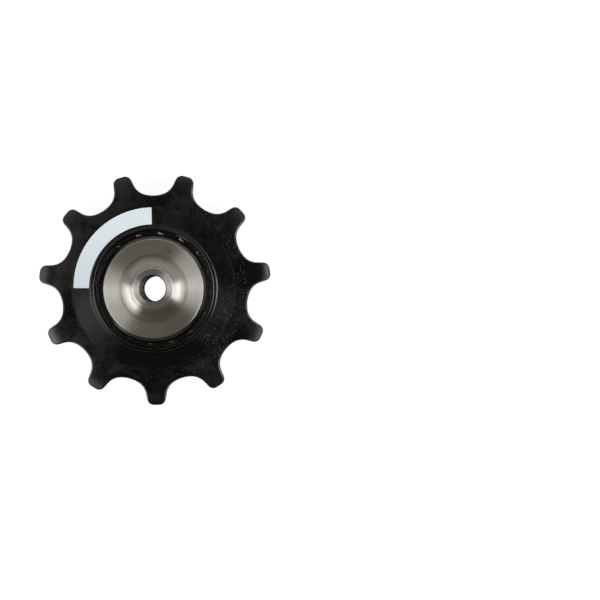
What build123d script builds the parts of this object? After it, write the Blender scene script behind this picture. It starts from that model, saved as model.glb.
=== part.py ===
"""Derailleur jockey wheel: a toothed wheel on an open ball bearing, held between two turned caps.

Millimetres. The wheel lies flat: the axis is Z, the printed face looks up (+Z), and the origin is
on the axis in the wheel's middle plane.
"""
from build123d import *
import math
import os

# Toothed rim, for bicycle chain of half-inch pitch
chain_pitch = 12.7
roller_diameter = 7.75
tooth_count = 11
tooth_phase = -89.2
tooth_height = 4.64
gap_floor_radius = 6.5
gap_floor_half_angle = 16.0
gap_flank_radius = 3.5
flank_lean = 10.0
tip_corner_radius = 1.3
web_thickness = 2.1
tip_thickness = 0.9
tip_taper_length = 3.0
outline_edge_radius = 0.36
blank_allowance = 0.75

# Hub of the toothed wheel: a raised land on both faces and a lip in front of the bearing
land_setback = 2.5
land_edge_radius = 0.03
land_foot_radius = 0.03
lip_overlap = 1.22
lip_thickness = 0.6
lip_recess_width = 0.62
lip_recess_depth = 0.35
lip_edge_radius = 0.28
seat_chamfer = 0.3

# Printed quarter ring on the front land
band_margin = 0.05
band_thickness = 0.04
band_start_angle = 91.3
band_sweep = 88.3
band_rise = 0.3

# Ball bearing, 17 x 26 x 5
bearing_bore = 17.0
bearing_width = 5.0
race_wall = 1.0295
race_chamfer = 0.25
bond_gap = 0.03
ball_diameter = 2.381
ball_count = 16
ball_phase = 72.5
ball_clearance = 0.03
groove_conformity = 1.05
groove_depth = 0.3

# Ball cage: a closed rim in front, prongs behind, and one wedge-shaped window between each two balls
cage_clearance = 0.08
pocket_clearance = 0.06
cage_rim = 0.5
prong_length = 1.0
window_sweep = 7.2
window_wall = 0.1
window_height = 0.56
window_toe_height = 0.06

# Turned caps
cap_bore = 5.1
cap_bore_chamfer = 0.25
boss_radius = 4.0
boss_height = 1.0
boss_foot_radius = 6.6
flange_overhang = 0.62
flange_thickness = 0.8
flange_chamfer_width = 0.62
flange_chamfer_depth = 0.6
cap_edge_radius = 0.25
spigot_gap = 0.1
spigot_chamfer = 0.3

# Sizes that follow from those above
pitch_radius = chain_pitch / 2 / math.sin(math.pi / tooth_count)
root_radius = pitch_radius - roller_diameter / 2
tip_radius = root_radius + tooth_height
half_tooth_pitch = math.pi / tooth_count
taper_start_radius = tip_radius - tip_taper_length
taper_drop = (web_thickness - tip_thickness) / 2
taper_arc_radius = (tip_taper_length**2 + taper_drop**2) / (2 * taper_drop)
ball_radius = ball_diameter / 2
groove_radius = ball_radius * groove_conformity
inner_groove_floor = bearing_bore / 2 + race_wall
ball_circle_radius = inner_groove_floor + ball_clearance + ball_radius
outer_groove_floor = ball_circle_radius + ball_radius + ball_clearance
bearing_radius = outer_groove_floor + race_wall
inner_shoulder_radius = inner_groove_floor + groove_depth
outer_shoulder_radius = outer_groove_floor - groove_depth
race_face = bearing_width / 2
seat_radius = bearing_radius + bond_gap
lip_radius = bearing_radius - lip_overlap
lip_recess_radius = lip_radius + lip_recess_width
recess_face = race_face + lip_thickness
hub_face = recess_face + lip_recess_depth
land_radius = root_radius - land_setback
pocket_radius = ball_radius + pocket_clearance
cage_inner_radius = inner_shoulder_radius + cage_clearance
cage_outer_radius = outer_shoulder_radius - cage_clearance
spigot_radius = bearing_bore / 2 - bond_gap
flange_radius = inner_shoulder_radius + flange_overhang
flange_face = race_face + flange_thickness
boss_face = flange_face + boss_height
tolerance = 1e-4


def polar(radius, degrees):
    """Point at a radius and an angle in the plane."""
    angle = math.radians(degrees)
    return Vector(radius * math.cos(angle), radius * math.sin(angle))


def turned(section):
    """Solid of a section drawn with radius across and height up, turned about the axis."""
    return revolve(Plane.XZ * section, Axis.Z)


def round_corner(section, corner, radius):
    """The section with the corner nearest to a point rounded."""
    return fillet(section.vertices().sort_by_distance(corner)[0], radius)


def bevel_corner(section, corner, length):
    """The section with the corner nearest to a point cut at 45 degrees."""
    return chamfer(section.vertices().sort_by_distance(corner)[0], length)


def downward(centre, radius, angle):
    """Point on a circle at an angle from straight down, towards +X."""
    return centre + Vector(radius * math.sin(angle), -radius * math.cos(angle))


def mirrored(point):
    """The point on the other side of the gap's centre line."""
    return Vector(-point.X, point.Y)


def tooth_outline():
    """Outline of the rim seen along the axis.

    One pitch is drawn with its gap along +Y: a floor arc, then on each side a flank arc, a straight
    flank and a rounded tip corner, and on one side the top of the tooth.
    """
    floor_angle = math.radians(gap_floor_half_angle)
    flank_angle = math.pi / 2 - half_tooth_pitch - math.radians(flank_lean)
    middle_angle = (floor_angle + flank_angle) / 2
    floor_centre = Vector(0, root_radius + gap_floor_radius)
    flank_centre = downward(floor_centre, gap_floor_radius - gap_flank_radius, floor_angle)
    gap_bottom = downward(floor_centre, gap_floor_radius, 0)
    floor_end = downward(floor_centre, gap_floor_radius, floor_angle)
    flank_middle = downward(flank_centre, gap_flank_radius, middle_angle)
    flank_end = downward(flank_centre, gap_flank_radius, flank_angle)

    along_flank = Vector(math.cos(flank_angle), math.sin(flank_angle))
    into_tooth = Vector(math.sin(flank_angle), -math.cos(flank_angle))
    start = flank_end + into_tooth * tip_corner_radius
    reach = tip_radius - tip_corner_radius
    run = start.dot(along_flank)
    flank_length = math.sqrt(run**2 - start.dot(start) + reach**2) - run
    corner_centre = start + along_flank * flank_length
    corner_start = flank_end + along_flank * flank_length
    corner_end = corner_centre.normalized() * tip_radius
    corner_way = (corner_start - corner_centre).normalized() + corner_centre.normalized()
    corner_middle = corner_centre + corner_way.normalized() * tip_corner_radius

    tip_middle = Vector(tip_radius * math.sin(half_tooth_pitch), tip_radius * math.cos(half_tooth_pitch))
    next_corner = mirrored(corner_end).rotate(Axis.Z, -math.degrees(2 * half_tooth_pitch))
    one_pitch = [
        ThreePointArc(mirrored(corner_end), mirrored(corner_middle), mirrored(corner_start)),
        Line(mirrored(corner_start), mirrored(flank_end)),
        ThreePointArc(mirrored(flank_end), mirrored(flank_middle), mirrored(floor_end)),
        ThreePointArc(mirrored(floor_end), gap_bottom, floor_end),
        ThreePointArc(floor_end, flank_middle, flank_end),
        Line(flank_end, corner_start),
        ThreePointArc(corner_start, corner_middle, corner_end),
        ThreePointArc(corner_end, tip_middle, next_corner),
    ]
    first_gap = tooth_phase + math.degrees(half_tooth_pitch) - 90
    turns = [first_gap + math.degrees(2 * half_tooth_pitch) * step for step in range(tooth_count)]
    return make_face([Rot(0, 0, turn) * edge for turn in turns for edge in one_pitch])


def wheel_section():
    """Half section of the toothed wheel: bearing seat, lip, lands, web and tapered rim."""

    def taper_height(radius):
        run = radius - taper_start_radius
        return web_thickness / 2 - taper_arc_radius + math.sqrt(taper_arc_radius**2 - run**2)

    web_face = web_thickness / 2
    rim_radius = tip_radius + blank_allowance
    rim_middle = (taper_start_radius + rim_radius) / 2
    rim_face = taper_height(rim_radius)
    middle_face = taper_height(rim_middle)
    hub_line = Polyline(
        (taper_start_radius, -web_face),
        (land_radius, -web_face),
        (land_radius, -hub_face),
        (seat_radius, -hub_face),
        (seat_radius, race_face),
        (lip_radius, race_face),
        (lip_radius, recess_face),
        (lip_recess_radius, recess_face),
        (lip_recess_radius, hub_face),
        (land_radius, hub_face),
        (land_radius, web_face),
        (taper_start_radius, web_face),
    )
    front_taper = ThreePointArc(
        (taper_start_radius, web_face), (rim_middle, middle_face), (rim_radius, rim_face)
    )
    rim_line = Line((rim_radius, rim_face), (rim_radius, -rim_face))
    rear_taper = ThreePointArc(
        (rim_radius, -rim_face), (rim_middle, -middle_face), (taper_start_radius, -web_face)
    )
    section = make_face(hub_line.edges() + [front_taper, rim_line, rear_taper])
    for side in (1, -1):
        section = round_corner(section, (land_radius, side * hub_face), land_edge_radius)
        section = round_corner(section, (land_radius, side * web_face), land_foot_radius)
    section = round_corner(section, (lip_radius, recess_face), lip_edge_radius)
    section = round_corner(section, (lip_recess_radius, hub_face), lip_edge_radius)
    return bevel_corner(section, (seat_radius, -hub_face), seat_chamfer)


def make_toothed_wheel():
    """Moulded wheel: the turned section cut to the tooth outline, with the outline's edges rounded."""
    blank = turned(wheel_section())
    wheel = blank & extrude(tooth_outline(), amount=2 * hub_face, both=True)

    def on_outline(edge):
        """True for the edges where the tooth outline meets the web or the taper."""
        middle = edge @ 0.5
        radius = math.hypot(middle.X, middle.Y)
        upright = abs((edge @ 0).Z - (edge @ 1).Z) > web_thickness / 2
        on_rim = abs(middle.Z) <= web_thickness / 2 + tolerance and radius > root_radius - tolerance
        at_taper = all(
            abs(math.hypot(point.X, point.Y) - taper_start_radius) < tolerance
            for point in (edge @ 0, middle, edge @ 1)
        )
        return on_rim and not upright and not at_taper

    return fillet(wheel.edges().filter_by(on_outline), outline_edge_radius)


def make_printed_band():
    """Thin layer of ink on the front land, a quarter of a ring; its outer edge is centred above the axis."""
    inner = lip_recess_radius + lip_edge_radius + band_margin
    outer = land_radius - land_edge_radius - band_margin - band_rise
    reach = 2 * land_radius
    corners = [polar(reach, band_start_angle + band_sweep * part) for part in (0, 0.5, 1)]
    sector = make_face(Polyline((0, 0), *corners, close=True))
    ring = Pos(0, band_rise) * Circle(outer) - Circle(inner)
    return extrude(Pos(0, 0, hub_face) * (ring & sector), amount=band_thickness)


def make_race(low_radius, high_radius, groove_centre):
    """Bearing ring with chamfered corners and a round groove for the balls."""
    width = high_radius - low_radius
    ring = Pos((low_radius + high_radius) / 2, 0) * Rectangle(width, bearing_width)
    ring = chamfer(ring.vertices(), race_chamfer)
    return turned(ring - Pos(groove_centre, 0) * Circle(groove_radius))


def make_cage():
    """Crown cage: round pockets open to the rear, and wedge-shaped windows through the webs between them."""
    front = pocket_radius + cage_rim
    height = front + prong_length
    middle = (cage_inner_radius + cage_outer_radius) / 2
    ring = turned(Pos(middle, front - height / 2) * Rectangle(cage_outer_radius - cage_inner_radius, height))
    pocket = Rot(0, 90, 0) * Cylinder(pocket_radius, cage_outer_radius * 2)
    pocket = Pos(cage_outer_radius, 0, 0) * pocket
    spacing = 360 / ball_count
    window_top = cage_outer_radius - window_wall
    window_floor = window_top - window_height
    window_outline = Polyline(
        polar(window_floor, window_sweep / 2),
        polar(window_top, window_sweep / 2),
        polar(window_floor + window_toe_height, -window_sweep / 2),
        polar(window_floor, -window_sweep / 2),
        close=True,
    )
    window = extrude(make_face(window_outline), amount=height, both=True)
    for place in range(ball_count):
        angle = ball_phase + spacing * place
        ring -= Rot(0, 0, angle) * pocket
        ring -= Rot(0, 0, angle + spacing / 2) * window
    return ring


def make_front_cap():
    """Turned cap: spigot into the inner race, flange, hollow curve up to the boss, and the through hole."""
    bore_radius = cap_bore / 2
    curve_width = boss_foot_radius - boss_radius
    curve_radius = (curve_width**2 + boss_height**2) / (2 * boss_height)
    curve_middle = boss_foot_radius - curve_width / 2
    curve_height = flange_face + curve_radius - math.sqrt(curve_radius**2 - (curve_width / 2) ** 2)
    spigot_end = spigot_gap / 2
    chamfer_top = (flange_radius - flange_chamfer_width, flange_face)
    chamfer_foot = (flange_radius, flange_face - flange_chamfer_depth)
    boss_edge = (boss_radius, boss_face)
    outer_line = Polyline(
        (boss_foot_radius, flange_face),
        chamfer_top,
        chamfer_foot,
        (flange_radius, race_face),
        (spigot_radius, race_face),
        (spigot_radius, spigot_end + spigot_chamfer),
        (spigot_radius - spigot_chamfer, spigot_end),
        (bore_radius, spigot_end),
        (bore_radius, boss_face - cap_bore_chamfer),
        (bore_radius + cap_bore_chamfer, boss_face),
        boss_edge,
    )
    boss_curve = ThreePointArc(boss_edge, (curve_middle, curve_height), (boss_foot_radius, flange_face))
    section = make_face(outer_line.edges() + [boss_curve])
    for corner in (chamfer_top, chamfer_foot, boss_edge):
        section = round_corner(section, corner, cap_edge_radius)
    return turned(section)


front_cap = make_front_cap()
nodes = {
    "toothed_wheel": make_toothed_wheel(),
    "printed_band": make_printed_band(),
    "outer_race": make_race(outer_shoulder_radius, bearing_radius, outer_groove_floor - groove_radius),
    "inner_race": make_race(bearing_bore / 2, inner_shoulder_radius, inner_groove_floor + groove_radius),
    "ball_cage": make_cage(),
    "front_cap": front_cap,
    "rear_cap": mirror(front_cap, about=Plane.XY),
}
for place in range(ball_count):
    centre = polar(ball_circle_radius, ball_phase + 360 / ball_count * place)
    nodes[f"ball_{place + 1:02d}"] = Pos(centre) * Sphere(ball_radius)

os.makedirs("parts", exist_ok=True)
for name, solid in nodes.items():
    export_step(solid, f"parts/{name}.step")
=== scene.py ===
import math
import bpy
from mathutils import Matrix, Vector


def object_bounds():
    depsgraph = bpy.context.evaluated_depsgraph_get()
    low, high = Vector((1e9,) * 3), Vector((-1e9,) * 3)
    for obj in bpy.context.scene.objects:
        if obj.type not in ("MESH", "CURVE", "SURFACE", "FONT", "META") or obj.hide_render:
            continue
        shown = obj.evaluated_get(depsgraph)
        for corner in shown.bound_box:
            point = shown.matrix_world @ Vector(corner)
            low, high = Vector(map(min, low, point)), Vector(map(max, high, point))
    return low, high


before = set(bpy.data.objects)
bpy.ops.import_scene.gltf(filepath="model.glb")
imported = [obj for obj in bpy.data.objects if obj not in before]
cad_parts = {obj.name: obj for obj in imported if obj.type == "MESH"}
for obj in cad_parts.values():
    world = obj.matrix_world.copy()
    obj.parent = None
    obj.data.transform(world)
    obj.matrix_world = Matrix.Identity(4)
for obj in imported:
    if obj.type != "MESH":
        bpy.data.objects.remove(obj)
cad_low, cad_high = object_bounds()


def grey(value, warm=0.0):
    """A grey that leans to red and away from blue, or the other way where warm is below 0."""
    return (value * (1 + warm), value, value * (1 - warm), 1.0)


# One millimetre in metres
MILLIMETRE = 0.001

# Sizes of the part that the finishes follow, in millimetres
TOOTH_MIDDLE_RADIUS = 20.6
TOOTH_ROOT_RADIUS = 18.8
LAND_RADIUS = 16.16
LIP_RADIUS = 12.4
LIP_EDGE_RADII = (11.98, 12.66)
CAGE_EDGE_RADII = (10.65, 11.1)
BEVEL_RADIUS = 9.83
BOSS_FOOT_RADIUS = 6.6
BOSS_RADIUS = 4.0
BORE_RADIUS = 2.55
BAND_ENDS = (0.0, 15.0)

# Heights along the axis over which the front's marks fade in, in millimetres
MOULDING_FRONT = (0.3, 0.6)
CAP_FRONT = (0.5, 1.0)

# Strokes on the front: middle in millimetres, turn in degrees, length, width
SCUFF_STROKE = ((22.95, 3.5), 80, 1.6, 0.6)
SCRATCH_STROKE = ((-3.47, -7.7), 50, 1.1, 0.2)
SPECK_STROKES = (((3.2, 7.4), 20, 1.0, 0.5), ((4.55, 4.5), 45, 1.1, 0.25))

# Shares of a stroke's length and width over which it fades
STROKE_EDGE = (0.35, 0.6)

# Patches of painted shade on the moulding's land and on the web beside the land: a stroke and its strength
LAND_SHADE_PATCHES = ((((12.0, 7.5), -58, 18.0, 7.0), 0.6), (((3.0, -14.0), 0, 26.0, 9.0), 1.0))
WEB_SHADE_PATCHES = (
    (((18.3, 3.2), 9, 8.0, 6.5), 0.9),
    (((-0.2, -18.4), 0, 20.0, 5.5), 0.8),
    (((-17.2, -3.0), 80, 6.5, 5.0), 0.8),
    (((0.3, 18.2), 0, 7.0, 3.0), 0.8),
    (((17.0, -9.6), 60, 5.0, 3.5), 0.8),
)

# Soft round patches on the front: middle and reach in millimetres. The land's and the lip's patches place
# painted sheen and a painted highlight; the cap's patches place tarnish.
LAND_SHEEN_PATCH = ((-13.6, -5.0), 9.0)
LIP_SHEEN_PATCH = ((-11.6, -4.6), 7.5)
LIP_HIGHLIGHT_PATCH = ((12.6, -0.6), 6.5)
TARNISH_PATCHES = (((5.0, -6.4), 5.0), ((4.6, 7.2), 4.5))

# Pale patches of the web: a soft round patch, and its strength and colour
WEB_PALE = (
    (((5.6, 16.3), 3.2), (1.0, grey(0.010))),
    (((13.9, -3.4), 5.0), (1.0, grey(0.011))),
    (((-6.6, 19.4), 3.2), (1.0, grey(0.013))),
    (((-16.8, 4.6), 4.5), (1.0, grey(0.022))),
)

# Parts of a noise's range over which a finish changes
WIDE_RANGE = (0.3, 0.7)
NARROW_RANGE = (0.35, 0.65)

# Highlights of turned surfaces: how far they are stretched, and their turn, so that they cross the rings
TURNED_STRETCH = 0.95
TURNED_ROTATION = 0.25

# Camera, in metres from the wheel's centre: straight above, to the right of the wheel
CAMERA_PLACE = (0.02905, -0.00226, 0.277)
CAMERA_LENS = 82.9
CAMERA_SENSOR = 36
CAMERA_CLIP_START = 0.01

# Softboxes: angles in degrees, lengths in metres
SOFTBOXES = {
    "softbox_right": dict(azimuth=-6, from_zenith=46, distance=0.45, width=0.28, height=0.21, radiance=4.6),
    "softbox_left": dict(azimuth=200, from_zenith=50, distance=0.45, width=0.34, height=0.21, radiance=4.2),
}


class Moulding:
    """Moulded black: colours of its clouds, strength and colour of what lies over them, and roughness."""

    DARK_CLOUD = grey(0.0004, 0.02)
    PALE_CLOUD = grey(0.0078, -0.06)
    # Painted sheen: paler clouds over the left side only
    LEFT_SHEEN_CLOUD = (1.0, grey(0.0135, 0.02))
    TEETH = (1.0, grey(0.004, 0.02))
    LAND = (0.75, grey(0.0018, -0.25))
    MOTTLE = (1.0, grey(0.022, -0.03))
    # Painted shade: near-black over the shade patches of the land and web
    PAINTED_SHADE = (0.9, grey(0.0002))
    # Painted sheen: a paler patch on the land at the lower left
    LAND_SHEEN = (1.0, grey(0.03))
    # Painted sheen: a paler patch on the lip at the lower left
    LIP_SHEEN = (1.0, grey(0.07))
    # Painted highlight on the teeth's outward flanks
    FLANK_HIGHLIGHT = (1.0, grey(0.085))
    # Painted highlight: pale lines on the lip's edges at the right
    LIP_HIGHLIGHT = (1.0, grey(0.2))
    FLECK = (1.0, grey(0.078, 0.02))
    SCUFF = (1.0, grey(0.002))

    CLOUD_ROUGHNESS = (0.28, 0.36)
    GRAIN_ROUGHNESS = (-0.04, 0.04)
    SHADE_PATCH_ROUGHNESS = -0.12
    LIP_ROUGHNESS = (-0.12, 0.2)


class Fleck:
    """Pattern of the pale fibre ends in the moulding; the radius is in millimetres."""

    PER_MILLIMETRE = 2.2
    SQUEEZE = 0.6
    SIZES = (0.14, 0.34)
    CHANCE = (0.26, 0.45)
    LEVELS = (0.4, 1.0)
    INNERMOST_RADIUS = 13.6


class Metal:
    """Turned metal: colours of its bands, strength and colour of what lies over them, and roughness."""

    DARK_BAND = (0.54, 0.528, 0.492, 1.0)
    PALE_BAND = (0.58, 0.57, 0.535, 1.0)
    STAIN = (0.35, (0.52, 0.48, 0.43, 1.0))
    # Painted shade: a dark line in the crease at the hollow's foot
    FOOT_SHADE_LINE = (0.45, (0.20, 0.18, 0.16, 1.0))
    # Painted shade inside the bore
    BORE_SHADE = (0.9, (0.03, 0.027, 0.024, 1.0))
    ARC = (0.32, (0.40, 0.385, 0.36, 1.0))
    # Painted highlight: a pale line round the boss's edge
    BOSS_EDGE_HIGHLIGHT = (0.6, (0.88, 0.87, 0.83, 1.0))
    # Painted shade on the bevel's left and right
    BEVEL_SIDE_SHADE = (1.0, (0.03, 0.029, 0.026, 1.0))
    # Painted highlight at the bottom of the cap's outermost edge
    LOW_CORNER_HIGHLIGHT = (1.0, (0.95, 0.93, 0.88, 1.0))
    TARNISH = (0.6, (0.38, 0.35, 0.31, 1.0))
    SPECK = (0.4, (0.16, 0.14, 0.12, 1.0))
    SCRATCH = (0.7, (0.85, 0.84, 0.80, 1.0))

    FLANGE_ROUGHNESS = 0.41
    HOLLOW_ROUGHNESS = 0.34
    RING_ROUGHNESS = (-0.04, 0.04)
    SCRATCH_ROUGHNESS = 0.15
    BEVEL_ROUGHNESS = -0.17
    BORE_ROUGHNESS = 0.35


class Ink:
    """Printed ink: colours at the ends of the band, with painted shading from the darker lower end to the
    paler upper end, and strength and colour of its clouds.
    """

    SHADED_LOWER_END = (0.67, 0.742, 0.778, 1.0)
    LIT_UPPER_END = (0.785, 0.855, 0.885, 1.0)
    CLOUD = (0.25, (0.68, 0.74, 0.78, 1.0))


class Bearing:
    """Colours of the bearing: dark and pale clouds of its pieces, and the painted shade and painted sheen
    that lie on the cage.
    """

    STEEL = ((0.05, 0.05, 0.046, 1.0), (0.085, 0.083, 0.075, 1.0))
    CERAMIC = ((0.012, 0.012, 0.014, 1.0), (0.022, 0.022, 0.024, 1.0))
    CAGE = (grey(0.0025, 0.05), grey(0.0085, 0.05))
    # Painted shade at the cage's inner edge, below the cap
    CAGE_INSIDE_SHADE = grey(0.0005)
    # Painted sheen at the cage's left and right
    CAGE_SIDE_SHEEN = grey(0.04, 0.05)


class Floor:
    """Floor: sizes in metres, edges of its areas in millimetres, and its glow and colours."""

    HALF_SIDE = 2.0
    GAP = 0.00002

    COVERED_EDGE = (18.0, 14.0)
    BEARING_EDGE = (5.0, 8.0)
    HOLE_EDGE = (4.0, 6.0)
    SHADE_EDGE = (5.0, 11.0)

    HOLE_GLOW = 1.0
    OPEN_GLOW = 0.92
    COVERED_GLOW = 0.15
    SHADE_GLOW = (0.035, 0.18)

    FILL = grey(0.8)
    SEEN = grey(0.16)


class Studio:
    """Walls round the part: colours, and edges as the height or depth of a direction of length 1."""

    FILL = grey(0.4)
    HORIZON = grey(1.0)
    FRONT_WALL = (0.058, 0.050, 0.039, 1.0)
    BACK_WALL = (0.092, 0.079, 0.062, 1.0)
    PANEL = grey(0.85, 0.04)

    HORIZON_HEIGHT = (0.0, 0.1)
    WALL_DEPTH = (-0.6, -0.05)
    PANEL_BOTTOM = (0.42, 0.58)
    PANEL_TOP = (0.9, 0.72)
    PANEL_DEPTH = (0.05, 0.4)


class Nodes:
    """Short calls that add nodes to a tree; each returns the socket that carries its result."""

    def __init__(self, tree):
        self.tree = tree
        tree.nodes.clear()

    def put(self, socket, value):
        """Links a socket to another one, or sets its value."""
        if isinstance(value, bpy.types.NodeSocket):
            self.tree.links.new(value, socket)
        else:
            socket.default_value = value

    def add(self, kind, inputs=None, **settings):
        """A new node, with its inputs by name or number. This call returns the node itself."""
        node = self.tree.nodes.new(kind)
        for name, value in settings.items():
            setattr(node, name, value)
        for name, value in (inputs or {}).items():
            self.put(node.inputs[name], value)
        return node

    def math(self, operation, *values):
        return self.add("ShaderNodeMath", dict(enumerate(values)), operation=operation).outputs[0]

    def chain(self, operation, first, *others):
        """One operation on several values, taken in turn."""
        for other in others:
            first = self.math(operation, first, other)
        return first

    def plus(self, *values):
        return self.chain("ADD", *values)

    def times(self, *values):
        return self.chain("MULTIPLY", *values)

    def largest(self, *values):
        return self.chain("MAXIMUM", *values)

    def minus(self, first, second):
        return self.math("SUBTRACT", first, second)

    def divide(self, first, second):
        return self.math("DIVIDE", first, second)

    def distance(self, x, y):
        return self.math("SQRT", self.plus(self.times(x, x), self.times(y, y)))

    def ease(self, value, low, high, start=0.0, end=1.0):
        """The value taken smoothly from low..high to start..end, and held outside."""
        inputs = dict(enumerate((value, low, high, start, end)))
        return self.add("ShaderNodeMapRange", inputs, interpolation_type="SMOOTHSTEP").outputs[0]

    def mix(self, factor, first, second):
        """Colour between two colours."""
        return self.add("ShaderNodeMix", {0: factor, 6: first, 7: second}, data_type="RGBA").outputs[2]

    def paint(self, colour, layers):
        """A colour with others laid over it in turn: where each one lies, and its strength and colour."""
        for where, (strength, layer) in layers:
            colour = self.mix(self.times(where, strength), colour, layer)
        return colour

    def split(self, vector):
        return self.add("ShaderNodeSeparateXYZ", {0: vector}).outputs

    def join(self, x, y, z):
        return self.add("ShaderNodeCombineXYZ", {0: x, 1: y, 2: z}).outputs[0]

    def noise(self, vector, scale, detail=3.0, rough=0.55):
        inputs = {"Vector": vector, "Scale": scale, "Detail": detail, "Roughness": rough}
        return self.add("ShaderNodeTexNoise", inputs).outputs[0]

    def rays(self):
        """1 for rays straight from the camera, and 1 for those by way of a mirror or through glass."""
        path = self.add("ShaderNodeLightPath").outputs
        return path["Is Camera Ray"], self.largest(path["Is Glossy Ray"], path["Is Transmission Ray"])


class Finish(Nodes):
    """Nodes of a material, with the point that they colour: its place in millimetres, its distance from
    the wheel's axis, how far right and up it lies at that distance, and whether it faces right, -1 to 1."""

    def __init__(self, material):
        material.use_nodes = True
        super().__init__(material.node_tree)
        coordinates = self.add("ShaderNodeTexCoord").outputs
        inputs = {0: coordinates["Object"], "Scale": 1 / MILLIMETRE}
        self.place = self.add("ShaderNodeVectorMath", inputs, operation="SCALE").outputs[0]
        self.x, self.y, self.z = self.split(self.place)
        self.radius = self.distance(self.x, self.y)
        self.rightward = self.divide(self.x, self.radius)
        self.upward = self.divide(self.y, self.radius)
        self.facing_right = self.split(coordinates["Normal"])[0]

    def stroke(self, middle, turn, length, width):
        """1 on a stroke on the face, 0 away from it."""
        right, up = self.minus(self.x, middle[0]), self.minus(self.y, middle[1])
        cosine, sine = math.cos(math.radians(turn)), math.sin(math.radians(turn))
        along = self.plus(self.times(right, cosine / length), self.times(up, sine / length))
        across = self.plus(self.times(right, -sine / width), self.times(up, cosine / width))
        return self.ease(self.distance(along, across), *STROKE_EDGE, 1.0, 0.0)

    def glow(self, middle, reach):
        """1 at a point on the face, falling smoothly to 0 at the reach."""
        away = self.distance(self.minus(self.x, middle[0]), self.minus(self.y, middle[1]))
        return self.ease(away, 0.0, reach, 1.0, 0.0)

    def ring(self, radius, full, none):
        """A line round the axis: 1 up to one distance from the radius, 0 from another one on."""
        away = self.math("ABSOLUTE", self.minus(self.radius, radius))
        return self.ease(away, full, none, 1.0, 0.0)

    def bump(self, height, strength, distance):
        inputs = {"Height": height, "Strength": strength, "Distance": distance * MILLIMETRE}
        return self.add("ShaderNodeBump", inputs).outputs[0]

    def surface(self, **inputs):
        """Principled surface as the material's output."""
        named = {name.replace("_", " "): value for name, value in inputs.items()}
        shader = self.add("ShaderNodeBsdfPrincipled", named)
        self.add("ShaderNodeOutputMaterial", {"Surface": shader.outputs[0]})

    def turned_surface(self, **inputs):
        """Principled surface turned on a lathe, with highlights stretched across the rings."""
        around = self.add("ShaderNodeTangent", direction_type="RADIAL", axis="Z").outputs[0]
        self.surface(
            Anisotropic=TURNED_STRETCH, Anisotropic_Rotation=TURNED_ROTATION, Tangent=around, **inputs
        )


def strongest(skin, patches):
    """The strongest of some patches of painted shade at each point of the face."""
    return skin.largest(*[skin.times(skin.stroke(*stroke), strength) for stroke, strength in patches])


def fleck_ring(skin):
    """1 between the land and the teeth, and at the lower right on the land's outer part too."""
    low_right = skin.ease(skin.minus(skin.rightward, skin.times(skin.upward, 1.6)), 0.3, 1.1)
    inner_radius = skin.ease(low_right, 0.0, 1.0, LAND_RADIUS, Fleck.INNERMOST_RADIUS)
    outside = skin.ease(skin.minus(skin.radius, inner_radius), -0.3, 0.3)
    inside = skin.ease(skin.radius, TOOTH_ROOT_RADIUS + 0.4, TOOTH_ROOT_RADIUS - 0.8)
    return skin.times(outside, inside)


def flecks(skin):
    """1 on small pale fibre ends: upright dots in patches, mostly on the right."""
    squeezed = skin.join(skin.x, skin.times(skin.y, Fleck.SQUEEZE), 0.0)
    inputs = {"Vector": squeezed, "Scale": Fleck.PER_MILLIMETRE}
    cells = skin.add("ShaderNodeTexVoronoi", inputs, voronoi_dimensions="2D").outputs
    chance, size, bright = skin.add("ShaderNodeSeparateColor", {0: cells["Color"]}).outputs
    away = skin.divide(cells["Distance"], skin.ease(size, 0.0, 1.0, *Fleck.SIZES))
    dot = skin.times(
        skin.ease(away, 0.5, 1.1, 1.0, 0.0),
        skin.ease(chance, *Fleck.CHANCE),
        skin.ease(bright, 0.0, 1.0, *Fleck.LEVELS),
    )
    patches = skin.noise(skin.join(skin.x, skin.y, 0.0), scale=0.3, detail=2.0)
    in_patch = skin.ease(patches, 0.36, 0.56, 0.15, 1.0)
    to_right = skin.ease(skin.rightward, -0.2, 0.8, 0.3, 1.0)
    return skin.times(dot, in_patch, to_right, fleck_ring(skin))


def mottle(skin):
    """Pale blotches at both sides of the wheel."""
    blotch = skin.ease(skin.noise(skin.place, scale=1.7, rough=0.6), 0.5, 0.72)
    right = skin.ease(skin.rightward, 0.2, 0.7, 0.0, 0.6)
    left = skin.ease(skin.rightward, -0.3, -0.8, 0.0, 0.5)
    return skin.times(blotch, skin.largest(right, left))


def flank_highlights(skin):
    """Painted highlight on the edges of the teeth that face out to the left or right, weaker on the left
    and at the tips.
    """
    outward = skin.times(skin.ease(skin.x, -2.0, 2.0, -1.0, 1.0), skin.facing_right)
    on_tooth = skin.ease(skin.radius, TOOTH_ROOT_RADIUS, TOOTH_ROOT_RADIUS + 0.8)
    off_tip = skin.ease(skin.radius, TOOTH_MIDDLE_RADIUS + 0.7, TOOTH_MIDDLE_RADIUS + 1.5, 1.0, 0.3)
    to_right = skin.ease(skin.x, -10.0, 10.0, 0.5, 1.0)
    return skin.times(skin.ease(outward, 0.15, 0.4), on_tooth, off_tip, to_right)


def lip_highlight_lines(skin):
    """Painted highlight: a strong line on the lip's outer edge and a weaker one on its inner edge, on the
    right.
    """
    lines = [skin.ring(radius, 0.05, 0.18) for radius in LIP_EDGE_RADII]
    strength = skin.ease(skin.radius, LIP_RADIUS - 0.3, LIP_RADIUS + 0.1, 0.6, 1.0)
    return skin.times(skin.largest(*lines), strength, skin.glow(*LIP_HIGHLIGHT_PATCH))


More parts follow.
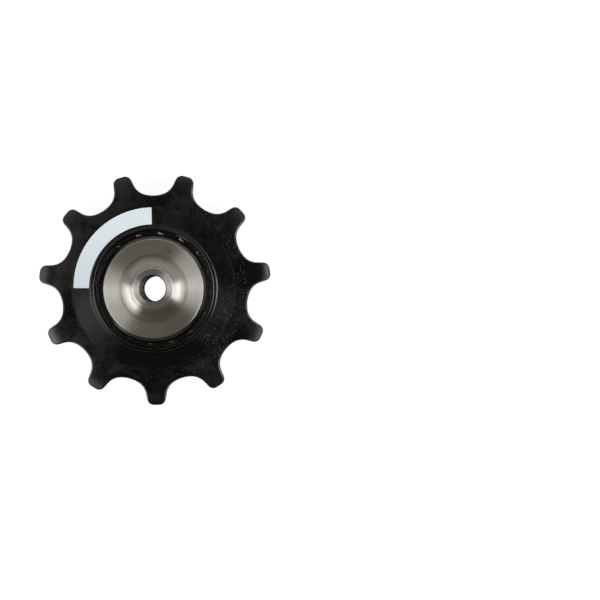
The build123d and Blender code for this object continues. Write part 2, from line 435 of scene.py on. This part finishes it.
def paint_black_composite():
    """Moulded black: clouded and mottled, with pale flecks, painted shade in dark patches, painted sheen on
    the left and on the land and lip, and painted highlights on the teeth's flanks and the lip's edges.
    """
    skin = Finish(bpy.data.materials["black_composite"])
    on_front = skin.ease(skin.z, *MOULDING_FRONT)
    on_land = skin.times(skin.ease(skin.radius, LAND_RADIUS + 0.05, LAND_RADIUS - 0.35), on_front)
    near_land = skin.times(skin.ease(skin.radius, LAND_RADIUS + 1.2, LAND_RADIUS - 1.0), on_front)
    on_lip = skin.times(skin.ease(skin.radius, LIP_RADIUS + 0.5, LIP_RADIUS - 0.1), on_front)
    on_teeth = skin.ease(skin.radius, TOOTH_MIDDLE_RADIUS - 1.0, TOOTH_MIDDLE_RADIUS + 0.4)
    cloud = skin.noise(skin.place, scale=0.55, detail=5.0, rough=0.6)
    in_cloud = skin.ease(cloud, *NARROW_RANGE)
    grain = skin.noise(skin.place, scale=5.0, detail=2.0)
    land_shade = skin.times(strongest(skin, LAND_SHADE_PATCHES), near_land)
    painted_shade = skin.largest(land_shade, skin.times(strongest(skin, WEB_SHADE_PATCHES), on_front))
    fleck = skin.times(flecks(skin), skin.minus(on_front, land_shade))

    layers = [
        # Painted sheen: paler clouds over the left side
        (skin.times(in_cloud, skin.ease(skin.rightward, -0.2, -0.8), on_front), Moulding.LEFT_SHEEN_CLOUD),
        (on_teeth, Moulding.TEETH),
        (near_land, Moulding.LAND),
        (skin.times(mottle(skin), on_front), Moulding.MOTTLE),
        *[(skin.times(skin.glow(*patch), on_front), look) for patch, look in WEB_PALE],
        # Painted shade on the land and on the web beside the land
        (painted_shade, Moulding.PAINTED_SHADE),
        # Painted sheen on the land
        (skin.times(skin.glow(*LAND_SHEEN_PATCH), on_land), Moulding.LAND_SHEEN),
        # Painted sheen on the lip
        (skin.times(skin.glow(*LIP_SHEEN_PATCH), on_lip), Moulding.LIP_SHEEN),
        # Painted highlight on the teeth's flanks
        (skin.times(flank_highlights(skin), on_front), Moulding.FLANK_HIGHLIGHT),
        # Painted highlight on the lip's edges
        (skin.times(lip_highlight_lines(skin), on_front), Moulding.LIP_HIGHLIGHT),
        (fleck, Moulding.FLECK),
        (skin.stroke(*SCUFF_STROKE), Moulding.SCUFF),
    ]
    rough = skin.plus(
        skin.ease(cloud, *NARROW_RANGE, *Moulding.CLOUD_ROUGHNESS),
        skin.ease(grain, *WIDE_RANGE, *Moulding.GRAIN_ROUGHNESS),
        skin.times(painted_shade, Moulding.SHADE_PATCH_ROUGHNESS),
        skin.times(on_lip, skin.ease(skin.upward, 0.25, 0.6, *Moulding.LIP_ROUGHNESS)),
    )
    height = skin.plus(skin.times(grain, 0.4), skin.times(fleck, 0.6))
    skin.surface(
        Base_Color=skin.paint(skin.mix(in_cloud, Moulding.DARK_CLOUD, Moulding.PALE_CLOUD), layers),
        Roughness=rough,
        Specular_IOR_Level=0.5,
        Normal=skin.bump(height, strength=0.3, distance=0.02),
    )


def paint_white_ink():
    """Printed ink: near-white, a little uneven, with painted shading that makes it paler towards the upper
    end of the band.
    """
    skin = Finish(bpy.data.materials["white_ink"])
    cloud = skin.noise(skin.place, scale=0.4)
    grain = skin.noise(skin.place, scale=9.0, detail=2.0)
    # Painted shading: the band darker at its lower end and paler at its upper end
    colour = skin.mix(skin.ease(skin.y, *BAND_ENDS), Ink.SHADED_LOWER_END, Ink.LIT_UPPER_END)
    skin.surface(
        Base_Color=skin.paint(colour, [(skin.ease(cloud, *WIDE_RANGE), Ink.CLOUD)]),
        Roughness=skin.ease(grain, *WIDE_RANGE, 0.42, 0.55),
        Specular_IOR_Level=0.3,
        Normal=skin.bump(grain, strength=0.2, distance=0.006),
    )


def painted_bevel_shade(skin):
    """Painted shade on the left and right of the cap's bevel, weaker at its outer edge on the right."""
    left = skin.ease(skin.rightward, -0.45, -0.8, 0.0, 0.98)
    low_right = skin.minus(skin.rightward, skin.times(skin.upward, 0.2))
    right_strength = skin.ease(skin.radius, BEVEL_RADIUS + 0.2, BEVEL_RADIUS + 0.5, 0.96, 0.84)
    right = skin.ease(low_right, 0.6, 1.0, 0.0, right_strength)
    on_bevel = skin.ease(skin.radius, BEVEL_RADIUS + 0.05, BEVEL_RADIUS + 0.2)
    return skin.times(skin.largest(left, right), on_bevel)


def painted_corner_highlight(skin):
    """1 at the bottom of the cap's outermost edge, where a highlight is painted."""
    outermost = skin.ease(skin.radius, BEVEL_RADIUS + 0.3, BEVEL_RADIUS + 0.5)
    return skin.times(skin.ease(skin.y, -6.0, -9.0), outermost)


def smooth_bevel(skin):
    """1 on the smooth bevel of the cap, which begins a little further in at the top."""
    start = skin.ease(skin.upward, 0.3, 0.7, BEVEL_RADIUS + 0.2, BEVEL_RADIUS)
    return skin.ease(skin.minus(skin.radius, start), -0.15, -0.05)


def in_hollow(skin):
    """1 in the cap's hollow, between its boss and its flange."""
    outside_boss = skin.ease(skin.radius, BOSS_RADIUS - 0.3, BOSS_RADIUS + 0.1)
    return skin.times(outside_boss, skin.ease(skin.radius, BOSS_FOOT_RADIUS, BOSS_FOOT_RADIUS - 0.4))


def paint_turned_metal():
    """Lathe-turned metal: fine rings, bands and arcs, a shiny bevel with painted shade at its sides,
    painted shade in the bore and at the hollow's foot, painted highlights round the boss's edge and at the
    bevel's low corner, and the front's marks.
    """
    skin = Finish(bpy.data.materials["turned_metal"])
    on_front = skin.ease(skin.z, *CAP_FRONT)
    in_bore = skin.ease(skin.radius, BORE_RADIUS + 0.05, BORE_RADIUS + 0.3, 1.0, 0.0)
    rings = skin.noise(skin.join(skin.radius, skin.z, 0.0), scale=9.0, detail=4.0, rough=0.7)
    bands = skin.noise(skin.join(skin.radius, 0.0, skin.z), scale=1.6, detail=2.0)
    arcs = skin.noise(skin.join(skin.radius, skin.rightward, skin.upward), scale=5.0, rough=0.65)
    stain = skin.noise(skin.place, scale=0.35)
    tarnish = skin.largest(*[skin.glow(*patch) for patch in TARNISH_PATCHES])
    specks = skin.largest(*[skin.stroke(*stroke) for stroke in SPECK_STROKES])
    scratch = skin.times(skin.stroke(*SCRATCH_STROKE), on_front)

    layers = [
        (skin.ease(stain, 0.5, 0.75), Metal.STAIN),
        # Painted shade in the crease at the hollow's foot
        (skin.ring(BOSS_FOOT_RADIUS, 0.05, 0.6), Metal.FOOT_SHADE_LINE),
        # Painted shade inside the bore
        (in_bore, Metal.BORE_SHADE),
        (skin.ease(arcs, *NARROW_RANGE), Metal.ARC),
        # Painted highlight round the boss's edge
        (skin.ring(BOSS_RADIUS - 0.02, 0.06, 0.2), Metal.BOSS_EDGE_HIGHLIGHT),
        # Painted shade on the bevel's sides
        (painted_bevel_shade(skin), Metal.BEVEL_SIDE_SHADE),
        # Painted highlight at the cap's low outer corner
        (painted_corner_highlight(skin), Metal.LOW_CORNER_HIGHLIGHT),
        (skin.times(tarnish, on_front), Metal.TARNISH),
        (skin.times(specks, on_front), Metal.SPECK),
        (scratch, Metal.SCRATCH),
    ]
    rough = skin.plus(
        skin.ease(in_hollow(skin), 0.0, 1.0, Metal.FLANGE_ROUGHNESS, Metal.HOLLOW_ROUGHNESS),
        skin.ease(rings, *WIDE_RANGE, *Metal.RING_ROUGHNESS),
        skin.times(scratch, Metal.SCRATCH_ROUGHNESS),
        skin.times(smooth_bevel(skin), Metal.BEVEL_ROUGHNESS),
        skin.times(in_bore, Metal.BORE_ROUGHNESS),
    )
    banded = skin.mix(skin.ease(bands, *NARROW_RANGE), Metal.DARK_BAND, Metal.PALE_BAND)
    skin.turned_surface(
        Base_Color=skin.paint(banded, layers),
        Metallic=1.0,
        Roughness=rough,
        Normal=skin.bump(rings, strength=0.3, distance=0.003),
    )


def paint_black_steel():
    """Bearing rings: dark ground steel with fine rings."""
    skin = Finish(bpy.data.materials["black_steel"])
    rings = skin.noise(skin.join(skin.radius, skin.z, 0.0), scale=12.0)
    stain = skin.noise(skin.place, scale=0.8)
    skin.surface(
        Base_Color=skin.mix(skin.ease(stain, *NARROW_RANGE), *Bearing.STEEL),
        Metallic=1.0,
        Roughness=skin.ease(rings, *WIDE_RANGE, 0.28, 0.40),
        Normal=skin.bump(rings, strength=0.2, distance=0.003),
    )


def paint_black_polymer():
    """Ball cage: turned black polymer with a fine grain, with painted shade at its inner edge and painted
    sheen at its sides.
    """
    skin = Finish(bpy.data.materials["black_polymer"])
    cloud = skin.noise(skin.place, scale=1.2)
    grain = skin.noise(skin.place, scale=8.0, detail=2.0)
    outside = skin.ease(skin.radius, *CAGE_EDGE_RADII)
    at_sides = skin.ease(skin.math("ABSOLUTE", skin.rightward), 0.5, 0.95)
    # Painted sheen at the cage's left and right
    side_sheen = skin.times(at_sides, outside, skin.ease(grain, *NARROW_RANGE, 0.4, 1.0))
    clouded = skin.mix(skin.ease(cloud, *WIDE_RANGE), *Bearing.CAGE)
    skin.turned_surface(
        Base_Color=skin.mix(side_sheen, skin.mix(outside, Bearing.CAGE_INSIDE_SHADE, clouded), Bearing.CAGE_SIDE_SHEEN),
        Roughness=skin.ease(grain, *WIDE_RANGE, 0.37, 0.45),
        Specular_IOR_Level=0.5,
        Normal=skin.bump(grain, strength=0.2, distance=0.006),
    )


def paint_dark_ceramic():
    """Balls: polished dark ceramic with a faint cloudiness."""
    skin = Finish(bpy.data.materials["dark_ceramic"])
    cloud = skin.noise(skin.place, scale=1.5)
    skin.surface(
        Base_Color=skin.mix(skin.ease(cloud, *WIDE_RANGE), *Bearing.CERAMIC),
        Roughness=skin.ease(cloud, *WIDE_RANGE, 0.10, 0.16),
        Specular_IOR_Level=0.6,
    )


def pale_floor():
    """Material of the floor: it glows where it shows or is mirrored, brightest below the hole, with a
    painted shadow of weaker glow below the part.
    """
    material = bpy.data.materials.new("pale_floor")
    skin = Finish(material)
    camera, mirrored = skin.rays()
    covered = skin.ease(skin.radius, *Floor.COVERED_EDGE)
    # Painted shadow: the glow seen below the bearing is weak, brighter towards the top
    below_bearing = skin.times(covered, skin.ease(skin.radius, *Floor.BEARING_EDGE))
    uncovered_glow = skin.ease(skin.radius, *Floor.HOLE_EDGE, Floor.HOLE_GLOW, Floor.OPEN_GLOW)
    shade_glow = skin.ease(skin.y, *Floor.SHADE_EDGE, *Floor.SHADE_GLOW)
    seen_glow = skin.ease(below_bearing, 0.0, 1.0, uncovered_glow, shade_glow)
    # Painted shadow in reflections: weaker mirrored glow below the part
    mirrored_glow = skin.ease(covered, 0.0, 1.0, Floor.OPEN_GLOW, Floor.COVERED_GLOW)
    strength = skin.plus(skin.times(camera, seen_glow), skin.times(mirrored, mirrored_glow))
    colour = skin.mix(skin.largest(camera, mirrored), Floor.FILL, Floor.SEEN)
    lit = skin.add("ShaderNodeBsdfDiffuse", {"Color": colour})
    glow = skin.add("ShaderNodeEmission", {"Strength": strength})
    both = skin.add("ShaderNodeAddShader", {0: lit.outputs[0], 1: glow.outputs[0]})
    skin.add("ShaderNodeOutputMaterial", {"Surface": both.outputs[0]})
    return material


def make_floor():
    """White floor that keeps the part's shadow."""
    half = Floor.HALF_SIDE
    height = cad_low.z - Floor.GAP
    corners = [(-half, -half, height), (half, -half, height), (half, half, height), (-half, half, height)]
    mesh = bpy.data.meshes.new("floor")
    mesh.from_pydata(corners, [], [(0, 1, 2, 3)])
    mesh.materials.append(pale_floor())
    floor = bpy.data.objects.new("floor", mesh)
    bpy.context.scene.collection.objects.link(floor)


def make_world():
    """Studio: white at the horizon, dim warm walls and ceiling, a bright panel behind, even fill light."""
    world = bpy.data.worlds.new("studio")
    bpy.context.scene.world = world
    world.use_nodes = True
    sky = Nodes(world.node_tree)
    depth, height = sky.split(sky.add("ShaderNodeTexCoord").outputs["Generated"])[1:]
    panel = sky.times(
        sky.ease(height, *Studio.PANEL_BOTTOM),
        sky.ease(height, *Studio.PANEL_TOP),
        sky.ease(depth, *Studio.PANEL_DEPTH),
    )
    walls = sky.mix(sky.ease(depth, *Studio.WALL_DEPTH), Studio.FRONT_WALL, Studio.BACK_WALL)
    above = sky.mix(panel, walls, Studio.PANEL)
    around = sky.mix(sky.ease(height, *Studio.HORIZON_HEIGHT), Studio.HORIZON, above)
    colour = sky.mix(sky.largest(*sky.rays()), Studio.FILL, around)
    background = sky.add("ShaderNodeBackground", {"Color": colour})
    sky.add("ShaderNodeOutputWorld", {"Surface": background.outputs[0]})


def make_softbox(name, azimuth, from_zenith, distance, width, height, radiance):
    """Area light that faces the part."""
    light = bpy.data.lights.new(name, "AREA")
    light.shape = "RECTANGLE"
    light.size = width
    light.size_y = height
    light.energy = radiance * math.pi * width * height
    lamp = bpy.data.objects.new(name, light)
    turn, tilt = math.radians(azimuth), math.radians(from_zenith)
    away = Vector((math.sin(tilt) * math.cos(turn), math.sin(tilt) * math.sin(turn), math.cos(tilt)))
    lamp.location = away * distance
    lamp.rotation_mode = "QUATERNION"
    lamp.rotation_quaternion = away.to_track_quat("Z", "Y")
    lamp.visible_camera = False
    bpy.context.scene.collection.objects.link(lamp)


def make_camera():
    """Camera that looks straight down, as far off the wheel's axis as the photograph's."""
    camera = bpy.data.cameras.new("camera")
    camera.lens = CAMERA_LENS
    camera.sensor_width = CAMERA_SENSOR
    camera.clip_start = CAMERA_CLIP_START
    view = bpy.data.objects.new("camera", camera)
    view.location = CAMERA_PLACE
    bpy.context.scene.collection.objects.link(view)
    bpy.context.scene.camera = view


paint_black_composite()
paint_white_ink()
paint_turned_metal()
paint_black_steel()
paint_black_polymer()
paint_dark_ceramic()
make_floor()
make_world()
for name, values in SOFTBOXES.items():
    make_softbox(name, **values)
make_camera()
bpy.context.scene.view_settings.view_transform = "Standard"
